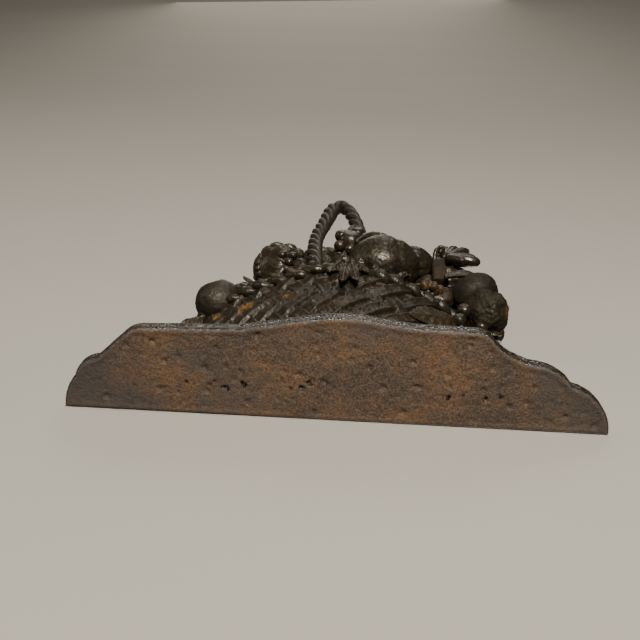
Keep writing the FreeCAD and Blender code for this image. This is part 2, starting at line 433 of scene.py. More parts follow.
def petal_form(t, angle):
    groove = np.exp(-(np.angle(np.exp(1j * angle)) / 0.22) ** 2)
    blunt = np.sqrt(1.0 + t * t)
    return blunt * (1.0 - 0.16 * groove) * (0.98 - 0.12 * smooth(0.1, 1.0, t)), np.ones_like(t)


def fruit(name, node, axis, form, seed, steps=5, pit=0.20, grain=0.18, swell=0.5, grow=1.0, facing=FRONT,
          look=None):
    """One fruit in the place and size of its CAD node."""
    low, high = box(node)
    size = high - low
    radius = 0.5 * min(size[0], size[2]) * grow
    half_length = 0.5 * max(size[0], size[2]) * grow
    centre = 0.5 * (low + high)
    centre[1] = low[1] + radius
    part = cast(centre, half_length, radius, axis, form, seed, (swell, grain, pit), steps, facing)
    joined(name, [part], "fruit_iron", (node,), look)


def cluster(name, node, seed, grow):
    """The balls of one CAD node as separate berries on one piece."""
    parts = []
    for index, solid in enumerate(cad_solids(node)):
        low, high = solid.min(0), solid.max(0)
        half = 0.5 * (high - low).max()
        centre = 0.5 * (low + high)
        centre[1] = low[1] + half
        parts.append(cast(centre, half * grow, half * grow, FRONT, berry_form, seed + index, (0.16, 0.05)))
    joined(name, parts, "fruit_iron", (node,))


# ---------------------------------------------------------------- materials
def node_maths(tree, operation, first, second=0.0):
    """One sum with numbers or node outputs."""
    node = tree.nodes.new("ShaderNodeMath")
    node.operation = operation
    for socket, value in zip(node.inputs, (first, second)):
        if isinstance(value, float):
            socket.default_value = value
        else:
            tree.links.new(value, socket)
    return node.outputs[0]


def node_place(tree):
    """The place on a piece in the row frame, in metres."""
    return tree.nodes.new("ShaderNodeTexCoord").outputs["Object"]


def node_noise(tree, scale, detail=6.0, roughness=0.6, distortion=0.0):
    """Noise in the row frame; scale is features per metre."""
    node = tree.nodes.new("ShaderNodeTexNoise")
    tree.links.new(node_place(tree), node.inputs["Vector"])
    for name, value in (("Scale", scale), ("Detail", detail), ("Roughness", roughness),
                        ("Distortion", distortion)):
        node.inputs[name].default_value = value
    return node.outputs["Fac"]


def node_steps(tree, value, low, high, to_low=0.0, to_high=1.0):
    """A soft step from to_low at low to to_high at high."""
    node = tree.nodes.new("ShaderNodeMapRange")
    node.interpolation_type = "SMOOTHSTEP"
    for socket, number in zip(node.inputs[1:5], (low, high, to_low, to_high)):
        socket.default_value = number
    tree.links.new(value, node.inputs[0])
    return node.outputs[0]


def node_mix(tree, share, first, second):
    """A colour mixed between two; each is a colour or the output of a node."""
    node = tree.nodes.new("ShaderNodeMix")
    node.data_type = "RGBA"
    tree.links.new(share, node.inputs["Factor"])
    for name, value in (("A", first), ("B", second)):
        socket = [s for s in node.inputs if s.name == name and s.type == "RGBA"][0]
        if isinstance(value, tuple):
            socket.default_value = value + (1.0,)
        else:
            tree.links.new(value, socket)
    return [s for s in node.outputs if s.type == "RGBA"][0]


def node_blots(tree, noise_values, low, high, to_low=0.0, to_high=1.0):
    """Soft-edged blots where noise passes from low to high; noise_values are those of node_noise."""
    return node_steps(tree, node_noise(tree, *noise_values), low, high, to_low, to_high)


def node_paint(tree, colour, share, strength, paint):
    """A colour painted over by another: share says where, strength how fully."""
    return node_mix(tree, node_maths(tree, "MULTIPLY", share, strength), colour, paint)


def node_near(tree, place, radius):
    """1 within a ragged patch of that radius about a place, both in millimetres."""
    away = tree.nodes.new("ShaderNodeVectorMath")
    away.operation = "DISTANCE"
    tree.links.new(node_place(tree), away.inputs[0])
    away.inputs[1].default_value = tuple(np.asarray(place, float) * MM)
    ragged = node_maths(tree, "MULTIPLY", node_noise(tree, 260.0, 4.0), radius * MM * 1.1)
    reach = node_maths(tree, "ADD", away.outputs["Value"], ragged)
    return node_steps(tree, reach, radius * MM * 0.9, radius * MM * 1.45, 1.0, 0.0)


def node_crevice_shade(tree, reach, deep, clear):
    """A mask from ambient occlusion, used for painted shade: 1 deep in a crevice and 0 on open skin, looking
    reach millimetres around.
    """
    node = tree.nodes.new("ShaderNodeAmbientOcclusion")
    node.samples = 4
    node.inputs["Distance"].default_value = reach * MM
    return node_steps(tree, node.outputs["AO"], deep, clear, 1.0, 0.0)


def new_material(name):
    """A fresh material, its node tree and its shader."""
    material = bpy.data.materials.new(name)
    material.use_nodes = True
    tree = material.node_tree
    return material, tree, tree.nodes["Principled BSDF"]


def bumped(tree, shader, layers):
    """Chains bump layers of (height, distance in millimetres, strength) onto a shader."""
    previous = None
    for height, distance, strength in layers:
        bump = tree.nodes.new("ShaderNodeBump")
        bump.inputs["Distance"].default_value = distance * MM
        bump.inputs["Strength"].default_value = strength
        tree.links.new(height, bump.inputs["Height"])
        if previous:
            tree.links.new(previous, bump.inputs["Normal"])
        previous = bump.outputs["Normal"]
    tree.links.new(previous, shader.inputs["Normal"])


# The first, near black, is both the painted shade deep in crevices and the darkest tone of the broken stalk.
SOOT_AND_SHADE = (0.0030, 0.0022, 0.0014)
BLACK = (0.0070, 0.0054, 0.0034)
BROWN = (0.026, 0.0150, 0.0070)
OLIVE = (0.028, 0.0240, 0.0100)
MOSS = (0.017, 0.0145, 0.0055)
UMBER = (0.050, 0.025, 0.0105)
OCHRE = (0.170, 0.080, 0.012)
GREY = (0.058, 0.053, 0.037)


def patina(name, dark, middle, light, rust, polish, dull, patches=(), grain=1.0,
           shine=0.5, crevices=(7.0, 0.15, 0.62)):
    """Old waxed cast iron: near-black oxide, brown in the hollows, greyer where hands have worn it, with
    painted shade deep in its crevices.

    rust is the share of rust, polish and dull the least and most roughness, patches the larger rust
    patches as (place, radius), grain the strength of the bumps and crevices the reach and the two levels of
    the painted shade in the crevices.
    """
    material, tree, shader = new_material(name)
    mottled = node_blots(tree, (170.0, 7.0, 0.7), 0.38, 0.66)
    colour = node_mix(tree, node_blots(tree, (38.0, 5.0, 0.62, 0.6), 0.36, 0.66), dark, middle)
    colour = node_paint(tree, colour, mottled, 0.65, light)
    colour = node_mix(tree, node_blots(tree, (620.0, 5.0, 0.75), 0.44, 0.60, 0.0, 0.75), colour, BLACK)
    edge = tree.nodes.new("ShaderNodeNewGeometry").outputs["Pointiness"]
    colour = node_paint(tree, colour, node_steps(tree, edge, 0.52, 0.60), 0.45, GREY)
    dusty = node_maths(tree, "MULTIPLY", node_steps(tree, edge, 0.490, 0.43), mottled)
    colour = node_paint(tree, colour, dusty, 0.8, UMBER)
    rusty = node_maths(tree, "MULTIPLY", node_blots(tree, (420.0, 3.0), 0.35, 0.6),
                       node_blots(tree, (60.0, 6.0, 0.66, 0.3), 0.80 - 0.3 * rust, 0.92 - 0.3 * rust))
    for place, radius in patches:
        rusty = node_maths(tree, "MAXIMUM", rusty, node_near(tree, place, radius))
    ochre = node_mix(tree, node_blots(tree, (330.0, 5.0), 0.40, 0.60), UMBER, OCHRE)
    colour = node_mix(tree, rusty, colour, ochre)
    # Painted shade: the colour goes near black deep in the crevices, where ambient occlusion finds them.
    crevice = node_crevice_shade(tree, *crevices)
    colour = node_paint(tree, colour, crevice, 0.85, SOOT_AND_SHADE)
    tree.links.new(colour, shader.inputs["Base Color"])
    sheen = node_blots(tree, (260.0, 6.0, 0.72), 0.32, 0.66, polish, dull)
    matt = node_maths(tree, "MULTIPLY", node_maths(tree, "MAXIMUM", rusty, crevice), 0.9)
    tree.links.new(node_maths(tree, "MAXIMUM", sheen, matt), shader.inputs["Roughness"])
    shader.inputs["Specular IOR Level"].default_value = shine
    shader.inputs["Specular Tint"].default_value = (1.0, 0.92, 0.80, 1.0)
    bumped(tree, shader, [(node_noise(tree, 170.0, 3.0, 0.5), 1.4, 0.55 * grain),
                          (node_noise(tree, 420.0, 2.0, 0.5), 0.55, 0.60 * grain),
                          (node_noise(tree, 1300.0, 2.0, 0.5), 0.08, 0.5 * grain)])
    return material


def plinth_material():
    """Patina on the front and top; a dry, granular rust brown on the underside that stands on the floor."""
    material, tree, shader = new_material("plinth_iron")
    patchy = node_noise(tree, 26.0, 7.0, 0.62, 0.4)
    grain = node_noise(tree, 850.0, 6.0, 0.72)
    speck = node_noise(tree, 150.0, 6.0, 0.7)
    dry = node_mix(tree, node_steps(tree, patchy, 0.36, 0.64), (0.072, 0.048, 0.031), (0.190, 0.094, 0.038))
    dry = node_mix(tree, node_steps(tree, speck, 0.42, 0.70, 0.0, 0.75), dry, (0.105, 0.080, 0.056))
    dry = node_mix(tree, node_steps(tree, grain, 0.50, 0.60, 0.0, 0.80), dry, (0.034, 0.022, 0.014))
    dry = node_mix(tree, node_steps(tree, grain, 0.48, 0.38, 0.0, 0.60), dry, (0.25, 0.15, 0.08))
    dry = node_paint(tree, dry, node_blots(tree, (13.0, 5.0, 0.6, 0.5), 0.50, 0.64), 0.55,
                     (0.066, 0.058, 0.050))
    # Painted shade: the underside goes dark deep in its pits and cracks, found by ambient occlusion.
    dry = node_mix(tree, node_crevice_shade(tree, 3.0, 0.40, 0.92), dry, (0.024, 0.014, 0.008))
    where = tree.nodes.new("ShaderNodeSeparateXYZ")
    tree.links.new(node_place(tree), where.inputs[0])
    from_middle = node_maths(tree, "ABSOLUTE", where.outputs["X"])
    wander = node_maths(tree, "MULTIPLY", node_noise(tree, 18.0, 4.0), 0.10)
    ends = node_steps(tree, node_maths(tree, "ADD", from_middle, wander), 0.135, 0.215)
    dry = node_paint(tree, dry, ends, 0.7, (0.062, 0.055, 0.047))
    dry = node_mix(tree, node_blots(tree, (210.0, 2.0), 0.70, 0.76), dry, (0.30, 0.15, 0.05))
    skin = node_mix(tree, node_blots(tree, (90.0, 6.0, 0.68), 0.36, 0.66), BLACK, BROWN)
    skin = node_mix(tree, node_steps(tree, speck, 0.45, 0.70, 0.0, 0.6), skin, GREY)
    facing = tree.nodes.new("ShaderNodeSeparateXYZ")
    tree.links.new(tree.nodes.new("ShaderNodeNewGeometry").outputs["True Normal"], facing.inputs[0])
    under = node_steps(tree, facing.outputs["Z"], -0.72, -0.93)
    colour = node_mix(tree, under, skin, dry)
    tree.links.new(colour, shader.inputs["Base Color"])
    gloss = node_blots(tree, (300.0, 6.0, 0.7), 0.36, 0.64, 0.07, 0.42)
    matt = node_steps(tree, grain, 0.35, 0.65, 0.62, 0.92)
    mixed = tree.nodes.new("ShaderNodeMix")
    for name, value in (("Factor", under), ("A", gloss), ("B", matt)):
        tree.links.new(value, [s for s in mixed.inputs if s.name == name and s.type == "VALUE"][0])
    tree.links.new(mixed.outputs[0], shader.inputs["Roughness"])
    shader.inputs["Specular IOR Level"].default_value = 0.8
    bumped(tree, shader, [(speck, 1.1, 0.65), (grain, 0.55, 0.8), (node_noise(tree, 1500.0, 3.0), 0.2, 0.6)])
    return material


# The larger rust patches as (place, radius), on the quince's right edge and the basket's left part.
shell_low, shell_high = box("basket_shell")
quince_low, quince_high = box("quince_right")
RUST_ON_QUINCE = [((quince_high[0] - 2.0, 0.6 * quince_low[1] + 0.4 * quince_high[1],
                    0.7 * quince_low[2] + 0.3 * quince_high[2]), 7.0)]
RUST_ON_BASKET = [
    ((shell_low[0] + 36.7, BACK - 30.0, 80.4), 9.0),
    ((shell_low[0] + 16.6, BACK - 18.9, 86.9), 5.0),
    ((shell_low[0] + 63.0, BACK - 39.7, 75.6), 3.4),
]
ROPE_CREVICE_SHADE = (3.0, 0.45, 0.90)  # painted shade reaching closer and shallower than others, for the grooves of the rope
MATERIALS = {"plinth_iron": plinth_material()}
for name, colours, rust, polish, dull, more in (
        ("basket_iron", (BLACK, BROWN, MOSS), 0.25, 0.31, 0.60, {"patches": RUST_ON_BASKET, "shine": 0.40}),
        ("fruit_iron", (BLACK, BROWN, OLIVE), 0.12, 0.20, 0.46, {"grain": 0.8}),
        ("leaf_iron", (BLACK, OLIVE, UMBER), 0.25, 0.26, 0.54, {}),
        ("handle_iron", (BLACK, BROWN, MOSS), 0.10, 0.34, 0.60, {"grain": 0.7, "crevices": ROPE_CREVICE_SHADE}),
        ("raw_back", (BLACK, UMBER, GREY), 0.55, 0.62, 0.90, {"grain": 1.5}),
        ("dull_fruit", (BLACK, MOSS, BROWN), 0.18, 0.40, 0.66, {}),
        ("melon_iron", (BLACK, BROWN, OLIVE), 0.12, 0.26, 0.54, {}),
        ("shaded_fruit", (BLACK, MOSS, BROWN), 0.34, 0.50, 0.78, {"patches": RUST_ON_QUINCE, "shine": 0.30}),
        ("dark_stalk", (SOOT_AND_SHADE, BROWN, UMBER), 0.30, 0.50, 0.80, {"shine": 0.30}),
        ("rusted_iron", (BLACK, BROWN, OCHRE), 0.42, 0.34, 0.74, {})):
    MATERIALS[name] = patina(name, *colours, rust, polish, dull, **more)


# ---------------------------------------------------------------- plinth
def inward(outline):
    """Unit directions pointing into a closed outline, one for each of its points."""
    ahead = np.roll(outline, -1, 0) - np.roll(outline, 1, 0)
    side = np.stack([-ahead[:, 1], ahead[:, 0]], 1)
    side /= np.linalg.norm(side, axis=1)[:, None]
    area = np.sum(outline[:, 0] * np.roll(outline[:, 1], -1) - np.roll(outline[:, 0], -1) * outline[:, 1])
    return side if area > 0 else -side


# The plinth's edge from its foot up, as (share of the height, inset): arris, band, groove and bead.
PLINTH_PROFILE = [(0.0, 1.9), (0.02, 1.1), (0.07, 0.5), (0.15, 0.1), (0.27, 0.0), (0.40, 0.15), (0.50, 0.55),
                  (0.56, 0.95), (0.62, 0.85), (0.68, 0.35), (0.77, 0.02), (0.86, 0.05), (0.93, 0.35),
                  (0.98, 0.9), (1.0, 1.7)]
PLINTH_CORNERS = 720
PIT_ROW_IN = 20.0           # how far the row of pits on the underside lies in from the back
PIT_ROW_HALF_LENGTH = 95.0


def plinth():
    """The plinth: worn lower arris, a bead under its top edge, a pitted underside and top."""
    height = box("base_plinth")[1][2]
    outline = cad_section("base_plinth", height / 2.0)
    outline = spaced(np.concatenate([outline, outline[:1]]), PLINTH_CORNERS + 1)[:-1]
    into = inward(outline)
    flat_back = smooth(BACK - 1.5, BACK - 0.2, outline[:, 1])
    uneven = waves(np.c_[outline, np.zeros(len(outline))], 7.0, 2)
    rows = []
    for share, inset in PLINTH_PROFILE:
        round_only = inset if share < 0.2 or share > 0.85 else 0.0
        depth = inset * (1.0 - flat_back) + 0.5 * round_only * flat_back
        depth = depth + 0.22 * (1.0 + uneven) * (1.0 - flat_back)
        rows.append(np.c_[outline + into * depth[:, None], np.full(len(outline), share * height)])
    side = np.concatenate(rows), grid_faces(len(rows), len(outline), wrapped=True)
    points, faces = join_parts([side, plinth_face(rows[0][:, :2], 0.0, 1.15),
                                plinth_face(rows[-1][:, :2], height, 1.9)])
    points, faces = welded(points, faces)
    piece("plinth", points, faces, "plinth_iron", ("base_plinth",))


def plinth_face(edge, z, spacing):
    """The underside or the top within an edge, sunk by the casting's pits, as (points, faces)."""
    low, high = edge.min(0), edge.max(0)
    xs, ys = np.arange(low[0], high[0], spacing), np.arange(low[1], high[1], spacing)
    grid = np.stack(np.meshgrid(xs, ys), -1).reshape(-1, 2)
    grid[:, 0] += 0.5 * spacing * (np.round((grid[:, 1] - low[1]) / spacing) % 2)
    keep = inside_outline(grid, edge) & (distance_to(grid, edge) > 0.7 * spacing)
    corners = [Vector(p) for p in np.concatenate([edge, grid[keep]])]
    loop = list(range(len(edge)))
    flat, _, faces, _, _, _ = delaunay_2d_cdt(corners, [], [loop], 1, 1e-5)
    flat = np.array([tuple(p) for p in flat])
    points = np.c_[flat, np.full(len(flat), z)]
    inner = smooth(0.4, 2.5, distance_to(flat, edge))
    sunk = 0.16 * waves(points, 12.0, 21) + 0.10 * waves(points, 3.4, 22) + 0.07 * waves(points, 1.3, 23)
    sunk += 0.28 + 0.75 * pits(points, 9.0, 4) ** 2 + 0.35 * pits(points, 4.1, 9)
    if z == 0.0:
        in_row = np.exp(-((points[:, 1] - (BACK - PIT_ROW_IN)) / 5.5) ** 2)
        in_row *= np.abs(points[:, 0]) < PIT_ROW_HALF_LENGTH
        crooked = points * (0.62, 1.0, 1.0) + 1.5 * waves(points, 3.2, 16)[:, None]
        sunk += 1.7 * pits(crooked, 4.4, 14) * in_row * smooth(-0.35, 0.1, waves(points, 17.0, 15))
    points[:, 2] += (1.0 if z == 0.0 else -1.0) * np.clip(sunk, 0.02, None) * inner
    return points, faces


def welded(points, faces):
    """The same mesh with the points that meet made one, and no face twice."""
    mesh = bmesh.new()
    verts = [mesh.verts.new(point) for point in points]
    for face in faces:
        try:
            mesh.faces.new([verts[i] for i in face])
        except ValueError:
            continue
    bmesh.ops.remove_doubles(mesh, verts=mesh.verts, dist=0.01)
    mesh.verts.index_update()
    points = np.array([v.co for v in mesh.verts])
    faces = [tuple(v.index for v in f.verts) for f in mesh.faces]
    mesh.free()
    return points, faces


def inside_outline(points, outline):
    """Even-odd test of many points against a closed outline."""
    x, y = points[:, 0], points[:, 1]
    inside = np.zeros(len(points), bool)
    for (x1, y1), (x2, y2) in zip(outline, np.roll(outline, -1, 0)):
        if y1 == y2:
            continue
        inside ^= ((y1 > y) != (y2 > y)) & (x < (x2 - x1) * (y - y1) / (y2 - y1) + x1)
    return inside


def distance_to(points, outline):
    """Distance of each point from the nearest corner of an outline."""
    nearest = np.full(len(points), FAR_OFF)
    for corner in outline:
        nearest = np.minimum(nearest, np.hypot(points[:, 0] - corner[0], points[:, 1] - corner[1]))
    return nearest


# ---------------------------------------------------------------- basket
# Heights at which the basket's plan is read: just above its foot, and just under its rim.
LOW_PLAN_Z = shell_low[2] + 1.0
HIGH_PLAN_Z = shell_high[2] - 8.0

SPLINT = 14.0             # pitch of the plaited splints
SPLINT_WIDTH = 0.66       # share of the pitch that a splint fills
RISE, FALL = 0.80, 1.05   # lean from level of the rising and the falling splints, in radians
RISING, FALLING = (2.7, 1.2), (1.7, 1.1)  # height of each sort, and how far it weaves over and under
PLAIT_LEVEL = 2.0         # height that the plaiting lies about
BASKET_WALL = 6.0


def plait(along, up):
    """Height of splints plaited on the diagonal: the ones that rise to the right lie mostly on top."""
    rising_share = (up * math.cos(RISE) - along * math.sin(RISE)) / SPLINT
    falling_share = (up * math.cos(FALL) + along * math.sin(FALL)) / SPLINT
    i, j = np.floor(rising_share), np.floor(falling_share)
    share_i, share_j = rising_share - i, falling_share - j

    def over(i, j):
        return np.where((i + j) % 3 != 0, 1.0, -1.0)

    def between(share, before, here, after):
        early = smooth(0.0, 0.30, share)
        late = smooth(0.70, 1.0, share)
        start = 0.5 * (before + here)
        end = 0.5 * (here + after)
        return start * (1.0 - early) + here * early * (1.0 - late) + end * late

    def splint(share):
        away = np.abs(share - 0.5) * 2.0 / SPLINT_WIDTH
        dished = 0.80 + 0.20 * smooth(0.3, 0.85, away)
        return dished * (1.0 - smooth(0.84, 1.08, away))

    weave = between(share_j, over(i, j - 1), over(i, j), over(i, j + 1))
    rising = splint(share_i) * (RISING[0] + RISING[1] * weave)
    weave = between(share_i, over(i - 1, j), over(i, j), over(i + 1, j))
    falling = splint(share_j) * (FALLING[0] - FALLING[1] * weave)
    return np.maximum(rising, falling) - PLAIT_LEVEL


def basket():
    """The basket's wall: plaited outside, rough inside its hollow back."""
    foot, top = shell_low[2], box("rim_braid")[0][2] + 4.0
    columns, rows = 400, 116
    low_line, _ = plan_line("basket_shell", LOW_PLAN_Z, columns)
    high_line, _ = plan_line("basket_shell", HIGH_PLAN_Z, columns)
    share = np.linspace(0.0, 1.0, rows)[:, None]
    z = foot + (top - foot) * share + np.zeros((1, columns))
    lift = ((z - LOW_PLAN_Z) / (HIGH_PLAN_Z - LOW_PLAN_Z))[..., None]
    flat = low_line[None] * (1.0 - lift) + high_line[None] * lift
    ahead = np.gradient(flat, axis=1)
    out = np.stack([ahead[..., 1], -ahead[..., 0]], -1)
    out /= np.linalg.norm(out, axis=2)[..., None]
    middle = np.array([flat[..., 0].mean(), BACK])
    out *= np.sign(np.sum(out * (flat - middle), 2))[..., None]
    along = np.linspace(-0.5, 0.5, columns)[None] * length_along(high_line)[-1] + np.zeros((rows, 1))
    at = np.dstack([flat, z]).reshape(-1, 3)

    def wavy(size, seed):
        return waves(at, size, seed).reshape(rows, columns)

    worn = smooth(-0.8, 0.9, wavy(30.0, 37))
    relief = plait(along + 2.0 * wavy(26.0, 31), z + 2.0 * wavy(26.0, 32)) * (0.70 + 0.30 * worn)
    skin = 0.60 * wavy(8.0, 33) + 0.32 * wavy(2.6, 34) + 0.20 * wavy(1.2, 35)
    skin -= 0.8 * pits(at, 7.0, 36).reshape(rows, columns)
    rough = 0.5 * wavy(10.0, 41) + 0.25 * wavy(3.0, 42) + 0.12 * wavy(1.3, 43)
    skins = []
    for reach in (relief - 0.4 + skin, -(BASKET_WALL + rough)):
        side = flat + out * reach[..., None]
        side[..., 1] = np.minimum(side[..., 1], BACK)
        skins.append(np.dstack([side, z]))
    points, faces = double_skin(*skins)
    piece("plaited_basket", points, faces, "basket_iron", ("basket_shell",))


def twisted(name, route, strands, radius, strand_radius, pitch, slot, replaced, seed, around, swell,
            knots=0.0, rough=0.22):
    """A rope of strands laid round a route of (x, y, z) points, with a core.

    swell(share of the length) scales its thickness; knots fattens a strand where it faces out.
    """
    line = smooth_line(route, 0.7)
    along = length_along(line)
    sides, acrosses = line_sides(line)
    scale = swell(along / along[-1])
    lay = (radius - strand_radius) * scale
    parts = []
    for strand in range(strands):
        turn = 2.0 * math.pi * (strand / strands + along / pitch)
        away = sides * np.cos(turn)[:, None] + acrosses * np.sin(turn)[:, None]
        fat = 1.0 + knots * (away @ unit(FRONT - 0.5 * UP))
        points, faces = tube(line + away * lay[:, None], strand_radius * scale * fat, around)
        parts.append((cast_skin(points, faces, seed + strand, rough, 0.16), faces))
    parts.append(tube(line, lay, 12))
    points, faces = join_parts(parts)
    points[:, 1] = np.minimum(points[:, 1], BACK)
    piece(name, points, faces, slot, replaced)


def smooth_line(route, spacing):
    """Points along the smooth curve that a route of points guides."""
    curve = bpy.data.curves.new("guide", "CURVE")
    curve.dimensions = "3D"
    curve.resolution_u = 24
    spline = curve.splines.new("NURBS")
    spline.points.add(len(route) - 1)
    for point, place in zip(spline.points, route):
        point.co = (*place, 1.0)
    spline.order_u = 3
    spline.use_endpoint_u = True
    guide = bpy.data.objects.new("guide", curve)
    mesh = bpy.data.meshes.new_from_object(guide)
    line = np.array([v.co for v in mesh.vertices])
    bpy.data.objects.remove(guide)
    bpy.data.meshes.remove(mesh)
    return spaced(line, int(length_along(line)[-1] / spacing))


def rim():
    """The braid along the rim, from the back plane round the front and back again."""
    low, high = box("rim_braid")
    height = 0.5 * (low[2] + high[2])
    radius = 0.5 * (high[2] - low[2])
    line, middle = plan_line("rim_braid", height, 400)
    ahead = np.gradient(line, axis=0)
    into = np.stack([-ahead[:, 1], ahead[:, 0]], 1)
    into /= np.linalg.norm(into, axis=1)[:, None]
    into *= np.sign(np.sum(into * (middle - line), 1))[:, None]
    centre = line + into * radius
    route = np.c_[centre, np.full(len(centre), height)][4:-4:6]

    def uneven(share):
        return 0.86 + 0.10 * np.sin(31.0 * share) + 0.08 * np.sin(77.0 * share + 1.0)

    twisted("braided_rim", route, 2, radius * 1.10, radius * 0.72, 23.0, "basket_iron",
            ("rim_braid",), 50, around=20, swell=uneven, knots=0.34, rough=0.9)


# The handle's guide points as (x, relief, height), from its foot on the rim to its end on the backing.
HANDLE_ROUTE = [(-17.2, 48.0, 104.0), (-20.2, 49.0, 138.0), (-20.8, 49.4, 166.0), (-17.4, 50.4, 190.0),
                (-13.8, 52.4, 211.0), (-11.8, 53.6, 228.0), (-5.4, 54.2, 236.5), (0.4, 53.4, 231.0),
                (3.8, 52.4, 220.0), (7.2, 51.0, 206.0), (11.4, 46.0, 192.0), (12.4, 34.0, 178.0),
                (9.6, 18.0, 173.0)]


def handle():
    """The carrying handle: three strands laid up as a rope, thicker at its crown."""
    route = [out_at(*place) for place in HANDLE_ROUTE]

    def thick(share):
        return 1.0 + 0.12 * np.exp(-((share - 0.52) / 0.10) ** 2)

    twisted("rope_handle", route, 3, 5.4, 2.95, -33.0, "handle_iron", ("handle_rope",), 60,
            around=16, swell=thick)


# ---------------------------------------------------------------- leaves
def blade(root, tip, facing, width, seed, cup=0.16, veins=6, teeth=9, thick=1.7, curl=0.0, wave=0.8,
          fine=72):
    """A leaf with a midrib, side veins and a toothed, wavy edge, as (points, faces) of a closed form."""
    along = tip - root
    length = np.linalg.norm(along)
    along /= length
    out = unit(facing - along * np.dot(facing, along))
    across = np.cross(out, along)
    rows, columns = fine, 2 * (fine // 4) + 1
    l = np.linspace(0.0, 1.0, rows)[:, None] + np.zeros((1, columns))
    w = np.linspace(-1.0, 1.0, columns)[None] + np.zeros((rows, 1))
    outline = np.sin(math.pi * np.clip(l, 0, 1) ** 0.80) ** 0.85
    saw = (l * teeth) % 1.0
    outline = outline * (1.0 - 0.10 * saw * smooth(0.05, 0.25, l)) + 0.03
    side = 0.5 * width * outline * w
    fold = cup * width * (np.abs(w) ** 1.3 - 0.35) * outline
    rib = 0.75 * np.exp(-(side / 0.8) ** 2) * (1.0 - 0.6 * l)
    sway = l * veins - 0.9 * np.abs(w)
    vein = 0.30 * np.cos(2.0 * math.pi * sway) * smooth(0.05, 0.25, np.abs(w)) * outline
    ripple = wave * np.sin(2.0 * math.pi * (1.6 * l + 0.13 * seed)) * np.abs(w) ** 2
    height = -fold + rib + vein + ripple - curl * length * l ** 2
    centre = root + (l * length)[..., None] * along + side[..., None] * across
    top = centre + (height + 0.5 * thick)[..., None] * out
    edge = (1.0 - np.abs(w) ** 6) * np.minimum(1.0, 6.0 * outline)
    under = centre + (height + 0.5 * thick - thick * (0.25 + 0.75 * edge))[..., None] * out
    points, faces = double_skin(top, under)
    return cast_skin(points, faces, 70 + seed, 0.25, 0.09), faces


def leaf_frame(node, root_hint):
    """Root, tip, outward direction and width of a CAD leaf plate; root_hint is a place near its root."""
    points = np.concatenate(cad_solids(node))
    middle = points.mean(0)
    _, _, directions = np.linalg.svd(points - middle, full_matrices=False)
    along = (points - middle) @ directions[0]
    one, other = points[along.argmin()], points[along.argmax()]
    if np.linalg.norm(one - root_hint) > np.linalg.norm(other - root_hint):
        one, other = other, one
    out = directions[2] if directions[2][1] < 0 else -directions[2]
    width = np.ptp((points - middle) @ directions[1])
    return one, other, out, width


def leaf_piece(node, root_hint, seed, lift=0.0, reach=1.0, **form):
    """A veined leaf in the place of its CAD plate, moved outwards by lift and as long as a share of it."""
    root, tip, out, width = leaf_frame(node, out_at(*root_hint))
    tip = root + (tip - root) * reach
    part = blade(root + out * lift, tip + out * lift, out, width * 1.08, seed, **form)
    joined(node.replace("leaf", "veined_leaf"), [part], "leaf_iron", (node,))


# ---------------------------------------------------------------- the hollow swell behind the fruit
def swell():
    """The hollow swell that carries the fruit: leafy relief outside, raw casting inside."""
    rows, columns = 150, 300
    share = np.linspace(0.0, 1.0, rows)[:, None] + np.zeros((1, columns))
    turn = np.linspace(0.0, math.pi, columns)[None] + np.zeros((rows, 1))
    reach = SWELL_HALF_WIDTH * share
    x, z = reach * np.cos(turn), SWELL_Z + reach * np.sin(turn)
    relief = swell_relief(x, z)
    chooser = random.Random(11)
    lift = np.zeros_like(relief)
    for ring, count in ((22.0, 4), (40.0, 8), (57.0, 11), (72.0, 14)):
        for k in range(count):
            angle = math.pi * (k + 0.5 + chooser.uniform(-0.25, 0.25)) / count
            away = ring + chooser.uniform(-4.0, 4.0)
            cx, cz = away * math.cos(angle), SWELL_Z + away * math.sin(angle)
            lean = angle + chooser.uniform(-1.0, 1.0)
            length, width = chooser.uniform(11.0, 16.0), chooser.uniform(5.0, 7.5)
            l = ((x - cx) * math.cos(lean) + (z - cz) * math.sin(lean)) / length
            w = ((z - cz) * math.cos(lean) - (x - cx) * math.sin(lean)) / width
            half = np.clip(1.0 - l * l, 0.0, 1.0)
            inside = smooth(0.0, 0.25, half - np.abs(w))
            vein = 0.35 * np.cos(2.0 * math.pi * (3.0 * l - 0.8 * np.abs(w)))
            rib = 0.9 * np.exp(-(w / 0.12) ** 2)
            lift = np.maximum(lift, inside * (2.2 + chooser.uniform(0.0, 1.2) + vein + rib - 0.8 * np.abs(w)))
    at = np.stack([x, BACK - relief, z], -1).reshape(-1, 3)
    skin = 0.5 * waves(at, 7.0, 81) + 0.25 * waves(at, 2.2, 82)
    edge = smooth(1.0, 0.93, share)
    centre = np.array([0.0, BACK - SWELL_RELIEF + SWELL_RADIUS, SWELL_Z])
    out = (at - centre) / np.linalg.norm(at - centre, axis=1)[:, None]
    outside = at + out * ((lift - 0.6).reshape(-1) * edge.reshape(-1) + skin)[:, None]
    inner_reach = reach * (SWELL_HALF_WIDTH - SWELL_RIM) / SWELL_HALF_WIDTH
    ix, iz = inner_reach * np.cos(turn), SWELL_Z + inner_reach * np.sin(turn)
    inner_relief = swell_relief(ix, iz, SWELL_WALL)
    raw = 0.6 * waves(at, 11.0, 83) + 0.3 * waves(at, 3.5, 84) + 0.15 * waves(at, 1.5, 85)
    inside = np.stack([ix, BACK - inner_relief, iz], -1).reshape(-1, 3)
    inside[:, 1] += raw * smooth(1.0, 0.9, share).reshape(-1)
    for side in (outside, inside):
        side[:, 1] = np.minimum(side[:, 1], BACK)
        side[:, 2] = np.maximum(side[:, 2], SWELL_Z - 0.2)
    points, faces = double_skin(outside.reshape(rows, columns, 3), inside.reshape(rows, columns, 3),
                                close_first=False)
    piece("fruit_swell", points, faces, "raw_back", ("fruit_backing",))


